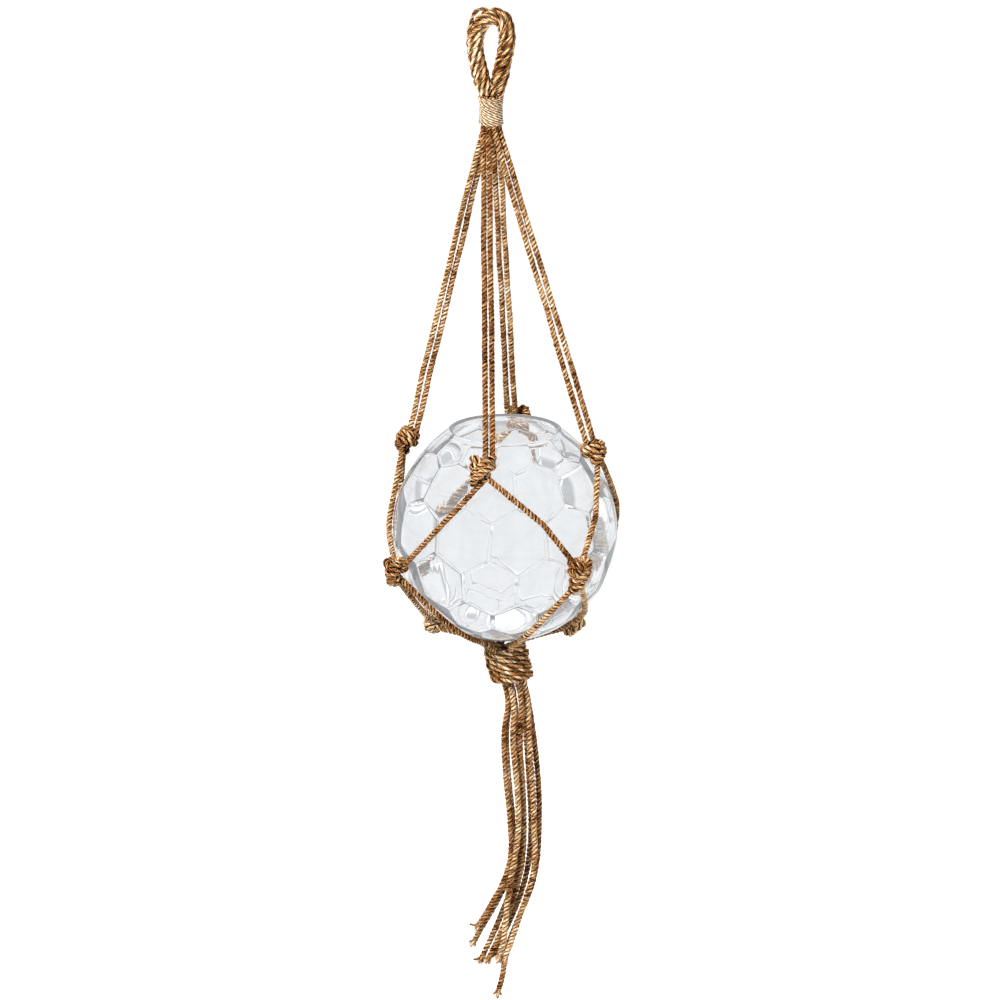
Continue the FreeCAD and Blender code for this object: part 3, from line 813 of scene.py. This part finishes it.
def makeWhipping():
    look = whippingLook
    share = np.linspace(0, 1, look["turns"] * look["turnPoints"] + 1)
    angle = share * look["turns"] * 2 * math.pi
    waist = 1 - (1 - look["waist"]) * np.sin(share * math.pi)
    radius = (look["bore"] * waist + look["twine"] / 2 - look["sunk"]) * mm
    drop = neck["height"] - look["twine"]
    rng = np.random.default_rng(look["scatterSeed"])
    height = -neck["drop"] - look["twine"] / 2 - drop * share + slowNoise(rng, share, *look["heightScatter"])
    radius = radius + slowNoise(rng, share, *look["radiusScatter"]) * mm
    x = neck["shift"] * mm + np.cos(angle) * radius
    line = np.stack([x, np.sin(angle) * radius, height * mm], axis=1)
    tubes = Tubes(look["seed"])
    tubes.plied(line, look["twine"] * mm, look["plyPitch"], plies=2, sides=8, step=look["step"])
    piece = tubes.piece("whippingTwine", [twine], "twine")
    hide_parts("eye_whipping")


makeWhipping()
print("whipping ready")


# Gathering wrap: cord wound round the bundle, slanting, with both ends tucked in

wrapLook = {
    "seed": 700, "scatterSeed": 32, "turns": 5, "turnPoints": 48, "cord": 6.0, "plyPitch": 28.0,
    "step": 0.0009, "topRadius": 15.3, "footRadius": 15.0, "slant": -1.0, "rise": 5.5, "span": 34.0,
    "lowest": 0.64, "tuckShare": 0.06, "tuckRadius": 0.6, "radiusScatter": (0.7, 0.03),
    "heightScatter": (0.9, 0.03),
}


def makeWrap():
    look = wrapLook
    share = np.linspace(0, 1, look["turns"] * look["turnPoints"] + 1)
    angle = math.pi / 2 + share * look["turns"] * 2 * math.pi
    right = np.array(wrapAxis.cross(Vector((0, 1, 0))).normalized())
    back = np.array((0.0, 1.0, 0.0))
    axis = np.array(wrapAxis)
    drop = look["cord"] / 2 - look["rise"] + (look["span"] - look["cord"]) * share
    rng = np.random.default_rng(look["scatterSeed"])
    radius = look["topRadius"] + (look["footRadius"] - look["topRadius"]) * share
    radius = radius + slowNoise(rng, share, *look["radiusScatter"])
    shown = np.clip(np.minimum(share, 1 - share) / look["tuckShare"], 0, 1)
    radius = radius * (look["tuckRadius"] + (1 - look["tuckRadius"]) * shown)
    slant = math.tan(math.radians(look["slant"])) * radius
    drop = drop - slant * np.cos(angle) * np.sign(right[0]) + slowNoise(rng, share, *look["heightScatter"])
    line = (np.array(wrapTop) + axis * drop[:, None] + right * (np.cos(angle) * radius)[:, None]
            + back * (np.sin(angle) * radius)[:, None]) * mm
    tubes = Tubes(look["seed"])
    tubes.plied(line, look["cord"] * mm, look["plyPitch"] * mm, sides=10, step=look["step"],
                lowest=look["lowest"])
    tubes.strays(line, look["cord"] / 2 * mm, **fuzzLook)
    piece = tubes.piece("wrapCord", [jute, fuzz], "jute")
    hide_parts("gathering_wrap")


makeWrap()
print("gathering wrap ready")


# Tassel: free cords with frayed ends
# Each cord: its bearing in the wrap, its length in metres, and points from the middle of the wrap's foot

tasselCords = {
    "strand_1": (157.5, 0.211, [
        (-9, -6, -38), (-7, -7, -76), (-3, -5, -114), (-2, -5, -144),
        (-8, -5, -165), (-17, -6, -181), (-25, -5, -196), (-31, -4, -205)]),
    "strand_2": (202.5, 0.227, [
        (-7, 5, -42), (-5, 4, -78), (-1, 2, -114), (0, 3, -144),
        (-5, 3, -165), (-13, 1, -182), (-22, 1, -198), (-29, 0, -210), (-34, 1, -220)]),
    "strand_3": (112.5, 0.231, [
        (-2, -10, -44), (2, -10, -80), (4, -9, -116), (1, -10, -144),
        (-4, -12, -166), (-6, -11, -184), (-7, -12, -202), (-9, -10, -218), (-13, -10, -229)]),
    "strand_4": (247.5, 0.241, [
        (2, 8, -46), (5, 9, -82), (7, 7, -116), (5, 6, -146),
        (0, 5, -168), (-7, 5, -186), (-13, 3, -202), (-21, 3, -220), (-28, 1, -235)]),
    "strand_5": (67.5, 0.239, [
        (4, -7, -48), (7, -4, -84), (8, -4, -118), (7, -4, -148),
        (2, -5, -170), (-4, -3, -190), (-10, -4, -206), (-16, -3, -220), (-22, -4, -233)]),
    "strand_6": (292.5, 0.237, [
        (10, 7, -50), (12, 5, -86), (14, 4, -120), (12, 2, -150),
        (7, 1, -172), (0, 3, -192), (-7, 3, -208), (-12, 4, -220), (-16, 3, -231)]),
    "strand_7": (22.5, 0.239, [
        (12, -5, -52), (15, -3, -88), (16, -2, -120), (17, -3, -152),
        (11, -6, -174), (4, -8, -194), (-1, -10, -210), (-6, -10, -224), (-9, -11, -232)]),
    "strand_8": (337.5, 0.269, [
        (17, 4, -56), (20, 5, -92), (20, 4, -122), (19, 2, -146),
        (15, 0, -168), (8, -1, -186), (1, -2, -202), (-5, -3, -218), (-8, -3, -234),
        (-10, -2, -249), (-14, -2, -261)]),
}
tasselLook = {"seed": 800, "fraySeed": 850}
frayLook = {
    "trim": 0.0045, "plies": 3, "plyTurns": (-0.4, 0.4), "plyLength": 0.0048, "plyLengths": (0.6, 1.2),
    "spread": 0.8, "spreads": (0.5, 1.3), "tuckedIn": 0.4, "plyShare": 0.24, "tip": 0.8, "points": 12,
    "lowest": 0.75, "fibres": 120, "fibreStarts": (-0.003, 0.002), "fibreRing": 0.3, "fibreLean": 0.4,
    "fibreLength": 0.0062, "fibreLengths": (0.4, 1.0), "fibreWidth": 0.00014,
}


def frayPiece(name, line, seed):
    look = frayLook
    tubes = Tubes(seed)
    rng = tubes.rng
    tangent, side, across = framesAlong(line)
    end = line[-1]
    way = tangent[-1]
    diameter = cord["diameter"] * mm
    count = look["points"]
    for ply in range(look["plies"]):
        angle = ply * 2 * math.pi / look["plies"] + rng.uniform(*look["plyTurns"])
        out = side[-1] * math.cos(angle) + across[-1] * math.sin(angle)
        length = look["plyLength"] * rng.uniform(*look["plyLengths"])
        spread = look["spread"] * rng.uniform(*look["spreads"])
        shares = np.linspace(-look["tuckedIn"], 1, count)[:, None]
        lift = np.clip(shares, 0, 1) ** 2 * spread * length
        route = end + way * shares * length + out * (diameter * look["plyShare"] + lift)
        places = np.linspace(0, length * (1 + look["tuckedIn"]), count)
        thick = diameter * look["plyShare"] * np.linspace(1.0, look["tip"], count)
        tubes.tube(route, places, thick, np.tile(out, (count, 1)), sides=8, lowest=look["lowest"])
    count = look["fibres"]
    angle = rng.uniform(0, 2 * math.pi, (count, 1))
    out = side[-1] * np.cos(angle) + across[-1] * np.sin(angle)
    back = rng.uniform(*look["fibreStarts"], (count, 1))
    base = end - way * back + out * diameter * look["fibreRing"]
    lean = unit(way + out * np.abs(rng.normal(0, look["fibreLean"], (count, 1))))
    length = look["fibreLength"] * rng.uniform(*look["fibreLengths"], (count, 1))
    tubes.fibres(base, lean, out, length, look["fibreWidth"])
    tubes.strays(line, diameter / 2, **fuzzLook)
    return tubes.piece(name, [jute, fuzz], "jute")


def makeTassel():
    diameter = cord["diameter"] * mm
    for number, (name, (slot, length, route)) in enumerate(tasselCords.items()):
        start = ringPlace(wrapFoot, slot, gather["ring"], wrapAxis)
        points = [start, start + wrapAxis * gather["tasselStart"]] + [wrapFoot + Vector(p) for p in route]
        line, places = evenly(splinePoints(points), mm)
        line = line[places < places[-1] - frayLook["trim"]]
        tubes = Tubes(tasselLook["seed"] + number)
        tubes.plied(line, diameter, cord["pitch"] * mm)
        laid = shadedJute if "tassel_" + name in shadedNodes else jute
        piece = tubes.piece("tassel_" + name.replace("strand", "cord"), [laid, fuzz], "jute")
        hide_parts("tassel_" + name)
        fray = frayPiece("tassel_" + name.replace("strand", "fray"), line, tasselLook["fraySeed"] + number)


makeTassel()
print("tassel ready")


# Glass globe: smooth outside, flat honeycomb cells inside with rounded ridges

glassLook = {
    "seed": 21, "round": 12, "firstLatitude": 8.0, "firstBearing": 83.0, "above": 2, "below": 4,
    "wobble": 1.0, "thin": 2.0, "base": 6.0, "shoulder": 25.0, "mouth": 41.5, "lip": 2.3, "rim": 83.5,
    "cut": 77.0, "block": 240, "joinCorners": 5.0, "tinyEdge": 0.05, "ridge": 1.9, "ridgeSteps": 4,
    "cellArea": 110.0, "bulge": 0.55, "ridgeBoost": 0.9, "longRimEdge": 6, "rimCuts": 9,
    "lipSteps": 8, "shoulderSteps": 32, "bellySteps": 72,
    "tint": (0.975, 0.985, 0.995, 1), "glowTint": (0.92, 0.96, 1.0, 1), "glow": 0.048,
    "waveScale": 22, "waveDetail": 1, "waveBump": 0.10, "waveDepth": 0.0008,
}


def outerDistance(latitude):
    look = glassLook
    over = max(0.0, math.radians(latitude - look["shoulder"]))
    lipOut = look["mouth"] + 2 * look["lip"]
    lipUp = look["rim"] - look["lip"]
    share = over / (math.atan2(lipUp, lipOut) - math.radians(look["shoulder"]))
    return globe["radius"] + (math.hypot(lipOut, lipUp) - globe["radius"]) * share ** 2


def outerProfile():  # from inside the lip over its crest and down the outside to the pole
    look = glassLook
    lipUp = look["rim"] - look["lip"]
    profile = []
    for step in range(look["lipSteps"] + 1):
        angle = math.pi * (1 - step / look["lipSteps"])
        radius = look["mouth"] + look["lip"] * (1 + math.cos(angle))
        profile.append((radius, lipUp + look["lip"] * math.sin(angle)))
    rise = math.radians(look["shoulder"])
    lipOuter = Vector((look["mouth"] + 2 * look["lip"], lipUp))
    normal = Vector((math.cos(rise), math.sin(rise)))
    shared = lipOuter.dot(normal)
    radius = lipOuter.dot(lipOuter) + globe["radius"] ** 2 - 2 * globe["radius"] * shared
    radius = radius / (2 * (globe["radius"] - shared))
    centre = normal * (globe["radius"] - radius)
    start = math.atan2(lipOuter.y - centre.y, lipOuter.x - centre.x)
    for step in range(1, look["shoulderSteps"] + 1):
        angle = start + (rise - start) * step / look["shoulderSteps"]
        profile.append((centre.x + radius * math.cos(angle), centre.y + radius * math.sin(angle)))
    for step in range(1, look["bellySteps"] + 1):
        angle = rise - (rise + math.pi / 2) * step / look["bellySteps"]
        profile.append((globe["radius"] * math.cos(angle), globe["radius"] * math.sin(angle)))
    return profile


def cellPlanes():  # the flat bottom inside, then each cell: a place on its plane and the way the plane faces
    look = glassLook
    rng = np.random.default_rng(look["seed"])
    pace = 2 * math.pi / look["round"] * math.sqrt(3) / 2
    start = math.atanh(math.sin(math.radians(look["firstLatitude"])))
    planes = [((0, 0, look["base"] - globe["radius"]), (0, 0, -1))]
    for row in range(-look["below"], look["above"] + 1):
        latitude = math.degrees(math.asin(math.tanh(start + row * pace)))
        corner = math.radians(180 / look["round"]) * math.cos(math.radians(latitude)) * 2 / math.sqrt(3)
        distance = (outerDistance(latitude) - look["thin"]) * math.cos(corner)
        for cell in range(look["round"]):
            bearing = look["firstBearing"] + ((row % 2) * 0.5 + cell) * 360 / look["round"]
            turned = bearing + rng.uniform(-1, 1) * look["wobble"]
            lifted = latitude + rng.uniform(-1, 1) * look["wobble"]
            normal = around(turned, lifted)
            planes.append((normal * distance, normal))
    return planes


def cutOff(bm, place, normal):
    everything = bm.verts[:] + bm.edges[:] + bm.faces[:]
    return bmesh.ops.bisect_plane(bm, geom=everything, dist=1e-5, plane_co=place, plane_no=normal,
                                  clear_outer=True)["geom_cut"]


def cutHollow(bm):  # a block cut down to the hollow of the globe, with its ridges rounded and its top open
    look = glassLook
    bmesh.ops.create_cube(bm, size=look["block"])
    for place, normal in cellPlanes():
        edges = [e for e in cutOff(bm, place, normal) if isinstance(e, bmesh.types.BMEdge)]
        if edges:
            bmesh.ops.contextual_create(bm, geom=edges)
    bmesh.ops.remove_doubles(bm, verts=bm.verts, dist=look["joinCorners"])
    bmesh.ops.dissolve_degenerate(bm, edges=bm.edges, dist=look["tinyEdge"])
    bmesh.ops.bevel(bm, geom=bm.edges[:], offset=look["ridge"], segments=look["ridgeSteps"], profile=0.5,
                    affect="EDGES", clamp_overlap=True, material=-1)
    soften = bm.faces.layers.float.new("soften")
    for face in bm.faces:
        face[soften] = look["bulge"] if face.calc_area() > look["cellArea"] else -look["ridgeBoost"]
    cutOff(bm, (0, 0, look["cut"]), (0, 0, 1))
    longEdges = [e for e in bm.edges if e.is_boundary and e.calc_length() > look["longRimEdge"]]
    bmesh.ops.subdivide_edges(bm, edges=longEdges, cuts=look["rimCuts"])


def addOutside(bm):  # the lip and the outside, pulled ring by ring from the open top of the hollow
    soften = bm.faces.layers.float["soften"]
    ring = [e for e in bm.edges if e.is_boundary]
    for radius, height in outerProfile():
        made = bmesh.ops.extrude_edge_only(bm, edges=ring)["geom"]
        ring = [part for part in made if isinstance(part, bmesh.types.BMEdge)]
        verts = [part for part in made if isinstance(part, bmesh.types.BMVert)]
        for vert in verts:
            bearing = math.atan2(vert.co.y, vert.co.x)
            vert.co = (radius * math.cos(bearing), radius * math.sin(bearing), height)
        for face in made:
            if isinstance(face, bmesh.types.BMFace):
                face[soften] = 0
    bmesh.ops.pointmerge(bm, verts=verts, merge_co=(0, 0, -globe["radius"]))


def makeGlobe():
    bm = bmesh.new()
    cutHollow(bm)
    addOutside(bm)
    bmesh.ops.recalc_face_normals(bm, faces=bm.faces)
    for face in bm.faces:
        face.smooth = True
    bmesh.ops.translate(bm, vec=globeCentre, verts=bm.verts)
    bmesh.ops.scale(bm, vec=(mm, mm, mm), verts=bm.verts)
    mesh = bpy.data.meshes.new("glassGlobe")
    bm.to_mesh(mesh)
    bm.free()
    obj = link(bpy.data.objects.new("glassGlobe", mesh))
    weighted = obj.modifiers.new("flatCells", "WEIGHTED_NORMAL")
    weighted.weight = 100
    weighted.keep_sharp = False
    print("globe has", len(mesh.vertices), "points and", len(mesh.polygons), "faces")
    return obj


def glassMaterial(look):
    # The glass gives off a faint glow of its own: painted light
    material, tree, surface = newMaterial("clearGlass", {
        "Base Color": look["tint"], "Roughness": 0.0, "IOR": 1.5, "Transmission Weight": 1.0,
        "Emission Color": look["glowTint"], "Emission Strength": look["glow"],
    })
    place = addNode(tree, "TexCoord").outputs["Object"]
    waves = {"Scale": look["waveScale"], "Detail": look["waveDetail"], "Vector": place}
    height = addNode(tree, "TexNoise", waves).outputs["Fac"]
    normal = addNode(tree, "NewGeometry").outputs["Normal"]
    radial = vectorNode(tree, "NORMALIZE", vectorNode(tree, "SUBTRACT", place, globeCentre * mm))
    facing = addNode(tree, "VectorMath", {0: normal, 1: radial}, operation="DOT_PRODUCT").outputs["Value"]
    side = mathNode(tree, "SIGN", facing)
    outward = addNode(tree, "VectorMath", {0: radial, "Scale": side}, operation="SCALE")
    soften = addNode(tree, "Attribute", attribute_name="soften").outputs["Fac"]
    bulged = addNode(tree, "Mix", {"Factor": soften, "A": normal, "B": outward.outputs["Vector"]},
                     data_type="VECTOR", clamp_factor=False)
    normal = vectorNode(tree, "NORMALIZE", bulged.outputs["Result"])
    relief = {"Strength": look["waveBump"], "Distance": look["waveDepth"], "Height": height, "Normal": normal}
    tree.links.new(addNode(tree, "Bump", relief).outputs[0], surface["Normal"])
    return material


glassGlobe = makeGlobe()
glassGlobe.data.materials.append(glassMaterial(glassLook))
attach(glassGlobe, "root")
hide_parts("glass_globe")
print("globe ready")
